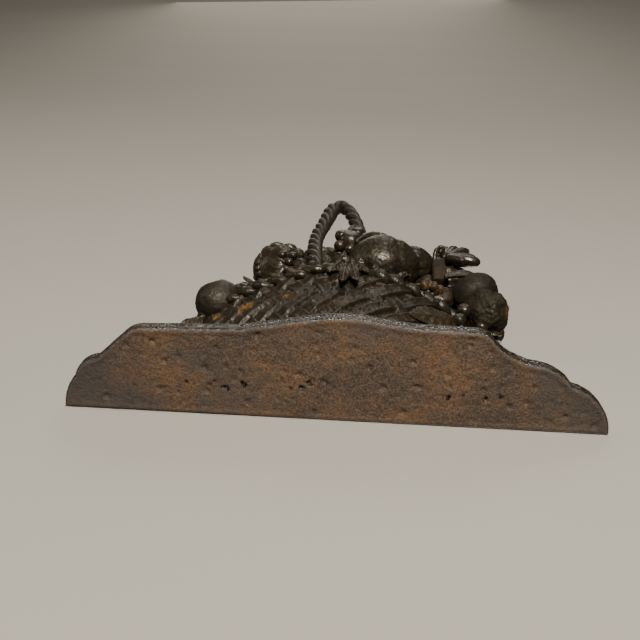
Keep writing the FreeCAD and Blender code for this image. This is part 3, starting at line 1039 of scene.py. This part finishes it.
def bed():
    """The ledge that closes the basket under the fruit."""
    rows, columns = 40, 220
    line, middle = plan_line("basket_shell", HIGH_PLAN_Z, columns)
    share = np.linspace(1.0, 0.0, rows)[:, None, None]
    flat = middle + (line - middle)[None] * (0.985 * share)
    sides = []
    for z, seed, sign in ((SWELL_Z + 2.6, 92, 1.0), (backing_low[2], 91, -1.0)):
        at = np.dstack([flat, np.full((rows, columns), z)])
        points = at.reshape(-1, 3)
        uneven = waves(points, 7.0, seed) + waves(points, 2.4, seed + 3)
        at[..., 2] += sign * 0.25 * uneven.reshape(rows, columns)
        sides.append(at)
    points, faces = double_skin(*sides, close_last=False)
    piece("basket_bed", points, faces, "raw_back")


# ---------------------------------------------------------------- small things
def lump(name, node, axis, seed, ridges, swell, ridge=0.6):
    """A knotted or leafy lump in the place of its CAD node, ridged along its axis."""
    low, high = box(node)
    size, centre = high - low, 0.5 * (low + high)

    def form(t, angle):
        ring = np.sqrt(1.0 - t * t)
        return 1.0 + ridge * 0.12 * np.cos(ridges * angle + 2.2 * t) * ring, np.ones_like(t)

    points, faces = grown(centre, 0.5 * size[0], 0.5 * min(size[1], size[2]), axis, form, 5, FRONT)
    points[:, 2] = centre[2] + (points[:, 2] - centre[2]) * size[2] / np.ptp(points[:, 2])
    joined(name, [(cast_skin(points, faces, seed, swell, 0.2), faces)], "leaf_iron", (node,))


def tendril():
    """A thin vine tendril that ends in one curl."""
    low, high = box("tendril")
    curl_steps, turn_step = 26, 0.30
    widest, narrowing = 2.9, 0.085
    centre = np.array([0.5 * (low[0] + high[0]) + 1.2, low[1] + 3.0, high[2] - 1.0])
    path = [np.array([centre[0] - 4.5, BACK - 30.0, centre[2] - 9.0]), centre + (-4.5, 4.0, -4.0)]
    for k in range(curl_steps):
        turn = math.pi + k * turn_step
        reach = widest - narrowing * k
        path.append(centre + np.array([reach * math.cos(turn), -reach * math.sin(turn) * 0.9, 0.05 * k]))
    line = smooth_line(path, 0.35)
    points, faces = tube(line, np.linspace(1.9, 1.45, len(line)), 14)
    piece("curled_tendril", cast_skin(points, faces, 120, 0.1, 0.05), faces, "leaf_iron", ("tendril",))


def lumps(name, slot, places, form, seed, swell, replaced=()):
    """Cast lumps on one piece, each ((x, relief, height), half length, radius, axis)."""
    parts = [cast(out_at(*place), half_length, radius, axis, form, seed + k, (swell, 0.16, 0.1))
             for k, (place, half_length, radius, axis) in enumerate(places)]
    joined(name, parts, slot, replaced)


# Places are (x, relief, height) in millimetres.
CROWN_LOBES = [((-54.3, 47.8, 139.6), 4.6, 2.5, RIGHT + FRONT * 0.7),
               ((-46.6, 50.2, 141.6), 5.6, 2.8, RIGHT),
               ((-37.6, 49.6, 142.2), 5.0, 2.9, RIGHT - FRONT * 0.3),
               ((-31.2, 46.2, 141.6), 4.6, 2.8, RIGHT - FRONT * 0.8),
               ((-50.4, 49.4, 134.0), 3.4, 2.2, RIGHT + FRONT * 0.4),
               ((-43.4, 51.2, 135.6), 3.6, 2.2, RIGHT),
               ((-57.3, 44.8, 133.2), 3.4, 2.4, UP + FRONT * 0.4),
               ((-58.3, 42.0, 129.0), 2.8, 2.2, UP),
               ((-57.6, 39.2, 126.2), 3.0, 2.4, UP + RIGHT * 0.4),
               ((-56.6, 36.2, 123.8), 3.0, 2.4, UP + RIGHT)]
RIM_KNOTS = [((-26.7, 46.0, 98.8), 5.0, 3.1, RIGHT + FRONT * 0.15),
             ((-15.2, 50.6, 98.0), 5.0, 3.2, RIGHT),
             ((-5.4, 51.0, 103.0), 3.8, 2.4, RIGHT + UP * 0.2),
             ((31.0, 43.6, 102.0), 4.0, 2.7, RIGHT - FRONT * 0.5),
             ((43.2, 39.6, 102.0), 4.2, 2.6, RIGHT - FRONT * 0.6),
             ((54.6, 34.2, 102.0), 3.8, 2.5, RIGHT - FRONT * 0.8),
             ((64.0, 29.2, 102.0), 4.4, 2.9, RIGHT - FRONT * 0.8)]
TWIG = [(-42.4, 47.6, 123.0), (-38.2, 45.0, 121.6), (-33.6, 41.8, 121.0)]


def twig():
    """The thin bare twig on the left apple, thicker at its foot."""
    line = smooth_line([out_at(*place) for place in TWIG], 0.5)
    foot_radius = 1.25
    points, faces = tube(line, np.linspace(foot_radius, 0.7 * foot_radius, len(line)), 12)
    piece("apple_twig", cast_skin(points, faces, 150, 0.15, 0.08), faces, "leaf_iron")


# Tips of the long berries right of the gourd, as (x, relief, height), and the half width of each.
BUNCH_ROOT = (74.2, 37.0, 168.0)
BUNCH_TIPS = [((77.5, 38.0, 192.0), 2.8), ((86.0, 36.0, 196.0), 4.2), ((94.5, 36.5, 189.0), 4.6),
              ((99.0, 35.5, 175.0), 4.4), ((100.0, 37.0, 162.0), 5.0), ((86.4, 42.0, 150.0), 4.2)]


def petals():
    """Long berries that spread like a hand from their stalk, each with a groove along it."""
    root = out_at(*BUNCH_ROOT)
    parts = []
    for k, (place, half_width) in enumerate(BUNCH_TIPS):
        tip = out_at(*place)
        axis = unit(tip - root)
        half_length = 0.46 * np.linalg.norm(tip - root)
        parts.append(cast(tip - axis * half_length, half_length, half_width, axis, petal_form, 340 + k,
                          (0.35, 0.14)))
    joined("petal_berries", parts, "fruit_iron", ("berry_bunch_right",))


def rolled(places, radius, seed):
    """A rolled leaf edge through (x, relief, height) places, as (points, faces)."""
    line = smooth_line([out_at(*place) for place in places], 0.4)
    taper = radius * (0.55 + 0.45 * np.sin(np.linspace(0.25, math.pi - 0.25, len(line))))

    def ridges(turn, row):
        return 0.16 * np.cos(3.0 * turn)

    points, faces = tube(line, taper, 24, ridges)
    return cast_skin(points, faces, seed, 0.45, 0.16), faces


# Rolled edges as (x, relief, height) places, and their radius: two curls over the grapes, the lip
# along the melon, and a small one between them.
FOLDS = [([(1.2, 49.0, 180.0), (3.2, 49.6, 189.0), (7.6, 50.2, 197.0), (11.6, 49.6, 196.0),
           (14.8, 48.0, 187.0)], 1.9),
         ([(2.6, 51.0, 173.0), (5.0, 52.0, 182.0), (8.6, 52.4, 187.0), (12.4, 51.6, 183.0),
           (15.4, 49.6, 176.0)], 1.7),
         ([(9.0, 53.0, 150.0), (12.0, 53.4, 156.0), (16.0, 54.0, 161.5), (21.0, 54.2, 164.5),
           (27.0, 53.6, 166.0), (33.0, 51.6, 165.0), (38.0, 48.6, 162.0)], 2.1),
         ([(14.0, 49.0, 170.0), (18.0, 51.0, 174.5), (22.0, 51.5, 176.0), (26.0, 50.0, 174.0),
           (29.0, 47.0, 169.0)], 1.7)]
# The rolled edge of the leaf over the right peach, and the broader fold behind it.
PEACH_LEAF = [([(72.0, 41.0, 122.0), (78.8, 42.0, 122.0), (84.9, 42.4, 123.0), (91.7, 40.6, 126.0),
                (98.0, 36.0, 129.0)], 1.5),
              ([(71.0, 37.4, 130.0), (79.0, 39.0, 131.0), (86.0, 38.8, 133.0), (92.0, 36.6, 134.0),
                (96.0, 33.4, 134.0)], 2.8)]


def rolls(name, edges, seed, replaced=(), look=None):
    """Rolled leaf edges on one piece."""
    parts = [rolled(places, radius, seed + k) for k, (places, radius) in enumerate(edges)]
    joined(name, parts, "leaf_iron", replaced, look)


BLOSSOMS = 13


def rust_cluster():
    """Small rusted blossoms, crowded together."""
    low, high = box("blossom")
    chooser = random.Random(5)
    parts = []
    for k in range(BLOSSOMS):
        place = np.array([chooser.uniform(a + 2.0, b - 2.0) for a, b in zip(low, high)])
        radius = chooser.uniform(2.0, 3.1)
        axis = FRONT + RIGHT * chooser.uniform(-0.7, 0.7) + UP * chooser.uniform(-0.7, 0.7)
        parts.append(cast(place, radius * 1.15, radius, axis, petal_form, 370 + k, (0.4, 0.14)))
    joined("rusted_blossom", parts, "rusted_iron", ("blossom",))


# Half-hidden fruit as (x, relief, height) places and radii.
HIDDEN = [((-10.2, 35.0, 165.0), 8.5), ((-4.5, 34.0, 158.0), 8.0), ((-12.0, 36.0, 146.0), 8.0),
          ((0.0, 38.0, 142.0), 9.0), ((60.0, 24.0, 140.0), 10.0), ((68.0, 22.0, 124.0), 10.0),
          ((84.0, 18.0, 134.0), 9.0), ((58.0, 26.0, 118.0), 9.0), ((-24.0, 30.0, 132.0), 10.0),
          ((-70.0, 16.0, 132.0), 9.0), ((-58.0, 24.0, 112.0), 9.0), ((8.0, 36.0, 186.0), 6.0),
          ((71.0, 32.0, 178.0), 5.0), ((76.0, 32.0, 170.0), 6.0), ((104.0, 11.0, 98.0), 7.0),
          ((92.0, 12.0, 92.0), 8.0), ((106.0, 14.0, 110.0), 7.0), ((-30.0, 39.0, 128.0), 8.0),
          ((-27.0, 40.0, 117.0), 7.5)]


def filling():
    """Half-hidden fruit that close the gaps between the named ones."""
    parts = [cast(out_at(*place), radius, radius * 0.9, UP + RIGHT * 0.3 * (k % 3), plain_form, 620 + k,
                  (1.6, 0.30, 0.4), 5) for k, (place, radius) in enumerate(HIDDEN)]
    joined("hidden_fruit", parts, "leaf_iron")


def ruffle(name, node, count, seed):
    """A small frilled leaf: rounded folds side by side."""
    low, high = box(node)
    size = high - low
    parts = []
    for k in range(count):
        share = (k + 0.5) / count - 0.5
        place = 0.5 * (low + high) + np.array([share * size[0] * 0.9, abs(share) * 0.5 * size[1], 0.0])
        tilt = RIGHT * share * 1.2 + FRONT * 0.6 + UP * 0.6
        parts.append(cast(place, 0.60 * size[1], size[0] / count * 0.80, tilt, petal_form, seed + k,
                          (0.15, 0.05)))
    joined(name, parts, "leaf_iron", (node,))


# Tips of the lobes of the leaf on the rim, from the top front edge of its CAD node, and their widths.
RIM_LEAF_X = 4.0
RIM_LEAF_LOBES = [((1.4, 0.4, -34.5), 7.5), ((10.6, 0.2, -33.5), 7.5), ((-7.5, 0.8, -17.0), 7.5),
                  ((18.0, 1.6, -13.0), 7.0), ((-4.5, 2.0, 4.0), 8.0), ((11.0, 2.0, 6.0), 8.0)]


def lobed_leaf():
    """The vine leaf that hangs over the middle of the rim, with six pointed lobes."""
    low, high = box("leaf_rim_centre")
    root = np.array([RIM_LEAF_X, low[1] - 0.5, high[2] + 1.0])
    parts = []
    for k, ((x, y, z), width) in enumerate(RIM_LEAF_LOBES):
        tip = np.array([x, low[1] + y, high[2] + z])
        parts.append(blade(root + RIGHT * (x - RIM_LEAF_X) * 0.30, tip, FRONT, width, 20 + k, cup=0.30,
                           teeth=4, veins=5, thick=1.8, fine=48))
    joined("lobed_rim_leaf", parts, "leaf_iron", ("leaf_rim_centre",))


# Shares of the rim's length at which a leaf hangs out over it.
HANGING = (0.16, 0.23, 0.30, 0.37, 0.43, 0.47, 0.56, 0.61, 0.72, 0.80)
RIM_LEAVES, SWELL_LEAVES, RIM_BERRIES = 30, 36, 40
SMALL_LEAF = {"cup": 0.2, "thick": 1.8, "teeth": 6, "veins": 5, "fine": 32}
HANGING_LEAF = {"cup": 0.15, "thick": 2.4, "teeth": 4, "veins": 4, "fine": 32, "curl": 0.2}


def foliage():
    """Leaves and berries packed between the fruit and the rim, and over the swell behind."""
    line, middle = plan_line("basket_shell", HIGH_PLAN_Z, 200)
    rim_top = box("rim_braid")[1][2]
    chooser = random.Random(23)
    leaves, berries = [], []

    def on_rim(share, inward_by, lift):
        """A place by the rim at a share of its length, and the level direction out of the basket there."""
        out = line[int(share * (len(line) - 1))] - middle
        return np.append(middle + out * inward_by, rim_top + lift), unit(np.append(out, 0.0))

    for k in range(RIM_LEAVES):
        share = 0.05 + 0.90 * (k + chooser.uniform(0.2, 0.8)) / RIM_LEAVES
        root, away = on_rim(share, chooser.uniform(0.78, 0.90), chooser.uniform(1.0, 8.0))
        heading = unit(away * 0.5 + UP * chooser.uniform(0.2, 1.0) + RIGHT * chooser.uniform(-1.1, 1.1))
        length = chooser.uniform(13.0, 20.0)
        leaves.append(blade(root, root + heading * length, unit(away + UP * 0.3 - heading * 0.4),
                            length * chooser.uniform(0.5, 0.7), 30 + k, **SMALL_LEAF))
    for k, share in enumerate(HANGING):
        root, away = on_rim(share, 0.95, 1.5)
        heading = unit(away * 0.75 - UP * chooser.uniform(0.1, 0.9) + RIGHT * chooser.uniform(-1.2, 1.2))
        length = chooser.uniform(10.0, 14.0)
        leaves.append(blade(root, root + heading * length, unit(away + UP * 0.5), length * 0.55, 110 + k,
                            **HANGING_LEAF))
    for k in range(SWELL_LEAVES):
        turn = math.pi * chooser.uniform(0.04, 0.96)
        reach = SWELL_HALF_WIDTH * chooser.uniform(0.35, 0.93)
        x, z = reach * math.cos(turn), SWELL_Z + 8.0 + 0.92 * reach * math.sin(turn)
        root = out_at(x, swell_relief(x, z) + 1.0, z)
        heading = unit(np.array([math.cos(turn + chooser.uniform(-0.9, 0.9)), -chooser.uniform(0.05, 0.35),
                                 math.sin(turn + chooser.uniform(-0.9, 0.9))]))
        length = chooser.uniform(15.0, 22.0)
        leaves.append(blade(root, root + heading * length, unit(FRONT + UP * 0.2), length * 0.55, 70 + k,
                            **SMALL_LEAF))
    for k in range(RIM_BERRIES):
        share = chooser.uniform(0.06, 0.94)
        place, _ = on_rim(share, chooser.uniform(0.84, 0.96), chooser.uniform(-1.0, 7.0))
        radius = chooser.uniform(2.4, 3.9)
        axis = np.array([chooser.uniform(-1, 1), -1.0, chooser.uniform(-1, 1)])
        berries.append(cast(place, radius * chooser.uniform(1.0, 1.4), radius, axis, berry_form, 500 + k,
                            (0.2, 0.06), 3))
    joined("packed_leaves", leaves, "leaf_iron")
    joined("packed_berries", berries, "fruit_iron")


def bank():
    """The mass of stalks that fills the basket's mouth behind its rim."""
    guides, count = 160, 260
    line, middle = plan_line("basket_shell", HIGH_PLAN_Z, guides)
    flat = middle + (line - middle) * 0.80
    route = np.c_[flat, np.full(guides, box("rim_braid")[1][2] + 2.0)]
    route[:, 2] += 3.0 * np.sin(np.linspace(0.0, 9.0, guides))
    radii = 10.5 + 1.5 * np.sin(np.linspace(0.0, 17.0, guides))
    radii = np.interp(np.linspace(0.0, 1.0, count), np.linspace(0.0, 1.0, guides), radii)

    def ridges(turn, row):
        return 0.9 * np.cos(5.0 * turn + 0.35 * row)

    points, faces = tube(spaced(route, count), radii, 72, ridges)
    joined("stalk_bank", [(cast_skin(points, faces, 140, 1.6, 0.35), faces)], "leaf_iron")


def stub():
    """The broken stalk that stands out between the fruit: tapered, square-cut across its top."""
    low, high = box("stem_stub")
    size = high - low

    def form(t, angle):
        square = (np.abs(np.cos(angle)) ** 5 + np.abs(np.sin(angle)) ** 5) ** -0.2
        full = 1.0 / np.sqrt(np.maximum(1.0 - t * t, 0.20))
        return 0.78 * square * full * (1.0 - 0.10 * t), np.ones_like(t)

    part = cast(0.5 * (low + high), 0.60 * size[2], 0.5 * size[0], FRONT * 0.35 + UP * 0.90, form, 130,
                (0.5, 0.12), 5)
    joined("broken_stalk", [part], "leaf_iron", ("stem_stub",), "dark_stalk")


# ---------------------------------------------------------------- everything on the casting
plinth()
basket()
rim()
swell()
bed()
handle()

fruit("ripe_melon", "melon", RIGHT * 0.98 + UP * 0.12, melon_form, 200, steps=6, pit=0.36, grain=0.20,
      look="melon_iron")
fruit("left_apple", "apple_left", FRONT * 0.5 + UP * 0.8 + LEFT * 0.2, apple_form, 210, steps=6, grain=0.16)
fruit("left_peach", "peach_left", UP * 0.4 + FRONT * 0.9 + LEFT * 0.4, peach_form, 220, facing=UP,
      look="dull_fruit")
fruit("right_peach", "peach_right", RIGHT * 0.9 + UP * 0.2 + FRONT * 0.3, peach_form, 230, facing=LEFT,
      look="shaded_fruit")
fruit("right_quince", "quince_right", RIGHT * 0.6 + FRONT * 0.6, plain_form, 240, pit=0.7, grain=0.5,
      swell=2.6, grow=1.08, steps=6, look="shaded_fruit")
fruit("middle_pear", "pear_centre", UP, pear_form, 250)
fruit("ribbed_gourd", "gourd", RIGHT, gourd_form, 260)
fruit("upper_left_pear", "pear_upper_left", UP + RIGHT * 0.25, pear_form, 270)
fruit("upper_right_apple", "apple_upper_right", FRONT * 0.6 + UP, apple_form, 280)
fruit("top_apple", "apple_top", FRONT * 0.7 + UP + LEFT * 0.3, apple_form, 290)
fruit("left_plum", "plum_left", FRONT, peach_form, 300, steps=4, swell=0.2)
fruit("grape_stem", "grape_stalk", FRONT, plain_form, 310, steps=4)

cluster("grapes", "grape_cluster", 320, grow=1.04)
petals()
cluster("lower_berries", "berries_lower_right", 350, grow=1.08)
cluster("left_berries", "berries_left", 360, grow=1.05)
rust_cluster()
rolls("peach_leaf", PEACH_LEAF, 640, ("leaf_peach_right",), "dull_fruit")

stub()
lump("vine_knot", "vine_knot_right", RIGHT, 380, ridges=5, swell=1.2)
lump("rim_vine_leaf", "vine_leaf_rim_right", RIGHT + UP * 0.3, 390, ridges=4, swell=1.0, ridge=1.0)
tendril()
lumps("scalloped_crown_leaf", "leaf_iron", CROWN_LOBES, ridged_form, 400, 0.5, ("crown_leaf_left",))
lumps("rim_knots", "fruit_iron", RIM_KNOTS, plain_form, 420, 0.3)
lobed_leaf()
foliage()
bank()
rolls("rolled_leaf_edges", FOLDS, 600)
filling()
twig()
ruffle("frilled_leaf", "ruffled_leaf", 4, 410)

leaf_piece("leaf_far_left", (-88.0, 11.0, 97.0), 1)
leaf_piece("leaf_flank_right", (74.0, 20.0, 90.0), 3, lift=1.0, cup=0.06, thick=1.8, wave=0.4)
leaf_piece("leaf_lower_right", (90.0, 12.0, 100.0), 4, lift=3.0, reach=0.84, teeth=5, wave=1.6, cup=0.05)
leaf_piece("leaf_upper_left", (-46.0, 20.0, 152.0), 5)
leaf_piece("leaf_upper_right", (56.0, 22.0, 170.0), 6)
leaf_piece("leaf_top", (-22.0, 24.0, 172.0), 7)


# ---------------------------------------------------------------- stage, camera, lights
def stage_material(name, colour):
    """Pale paper that is seen from its front side only."""
    material, tree, shader = new_material(name)
    mixed = node_mix(tree, node_noise(tree, 3.0, 3.0), colour, tuple(0.94 * c for c in colour))
    tree.links.new(mixed, shader.inputs["Base Color"])
    shader.inputs["Roughness"].default_value = 0.95
    shader.inputs["Specular IOR Level"].default_value = 0.1
    chosen = tree.nodes.new("ShaderNodeMixShader")
    behind = tree.nodes.new("ShaderNodeNewGeometry").outputs["Backfacing"]
    clear = tree.nodes.new("ShaderNodeBsdfTransparent").outputs["BSDF"]
    for socket, value in zip(chosen.inputs, (behind, shader.outputs["BSDF"], clear)):
        tree.links.new(value, socket)
    tree.links.new(chosen.outputs["Shader"], tree.nodes["Material Output"].inputs["Surface"])
    return material


def stage_sheet(name, start, end):
    """A sheet of the stage as wide as it goes, between two lines given as (y, z) in metres."""
    mesh = bpy.data.meshes.new(name)
    corners = [(-FAR, *start), (FAR, *start), (FAR, *end), (-FAR, *end)]
    mesh.from_pydata(corners, [], [(0, 1, 2, 3)])
    sheet = placed(name, mesh)
    mesh.materials.append(PAPER)
    sheet.visible_shadow = False
    sheet.visible_diffuse = False
    sheet.visible_glossy = False


PAPER = stage_material("pale_paper", (0.40, 0.375, 0.33))
FAR = 4.0             # half the width of the stage, in metres like all of it
GAP = 0.0006          # between the stage and the casting
BACKDROP_TOP = 1.2
SWEEP_RADIUS = 3.0    # of the bend from the backdrop to over the camera
SWEEP_STRIPS = 24
back_y = cad_box[1].y + GAP
stage_sheet("floor", (-FAR, -GAP), (FAR, -GAP))
stage_sheet("backdrop", (back_y, -FAR), (back_y, BACKDROP_TOP))
arc = [(back_y - SWEEP_RADIUS * (1.0 - math.cos(t)), BACKDROP_TOP + SWEEP_RADIUS * math.sin(t))
       for t in np.linspace(0.0, 0.5 * math.pi, SWEEP_STRIPS + 1)]
for k, (start, end) in enumerate(zip(arc[:-1], arc[1:])):
    stage_sheet(f"sweep_{k}", start, end)


def lamp(name, place, size, power, colour):
    """A soft square light at a place in metres, looking at the middle of the casting."""
    data = bpy.data.lights.new(name, "AREA")
    data.shape = "SQUARE"
    data.size = size
    data.energy = power
    data.color = colour
    thing = placed(name, data)
    thing.location = place
    thing.rotation_mode = "QUATERNION"
    thing.rotation_quaternion = (LIT_PLACE - Vector(place)).to_track_quat("-Z", "Y")


def sky(strength, colour):
    """Even light from all round."""
    world = bpy.data.worlds.new("studio")
    bpy.context.scene.world = world
    world.use_nodes = True
    background = world.node_tree.nodes["Background"]
    background.inputs["Color"].default_value = colour + (1.0,)
    background.inputs["Strength"].default_value = strength


LIT_PLACE = Vector((0.0, 0.0, 0.09))
DAYLIGHT = (1.0, 0.97, 0.92)
sky(0.09, (1.0, 0.95, 0.87))
lamp("ceiling", (0.12, -1.20, -0.60), 0.20, 31.0, (1.0, 0.95, 0.86))
lamp("window_left", (-1.5, -0.9, 0.2), 0.5, 3.0, DAYLIGHT)
lamp("front_top", (0.3, -1.6, 1.6), 0.9, 10.0, DAYLIGHT)
lamp("overhead", (-0.2, -0.4, 2.2), 1.0, 5.0, (1.0, 0.94, 0.84))
lamp("behind", (0.4, 1.8, 0.6), 1.0, 26.0, DAYLIGHT)


def camera():
    """The camera looks up at the underside from low in front of the foot, its top towards the front."""
    data = bpy.data.cameras.new("camera")
    data.sensor_width = 36.0
    data.lens = 39.375
    data.clip_start = 0.01
    data.clip_end = 20.0
    thing = placed("camera", data)
    right = Vector((0.99779, -0.02203, 0.06258))
    up = Vector((-0.04639, -0.90604, 0.42063))
    back = right.cross(up)
    turn = Matrix((right, up, back)).transposed().to_4x4()
    thing.matrix_world = Matrix.Translation((0.009277, -0.181659, -0.325887)) @ turn
    bpy.context.scene.camera = thing


camera()
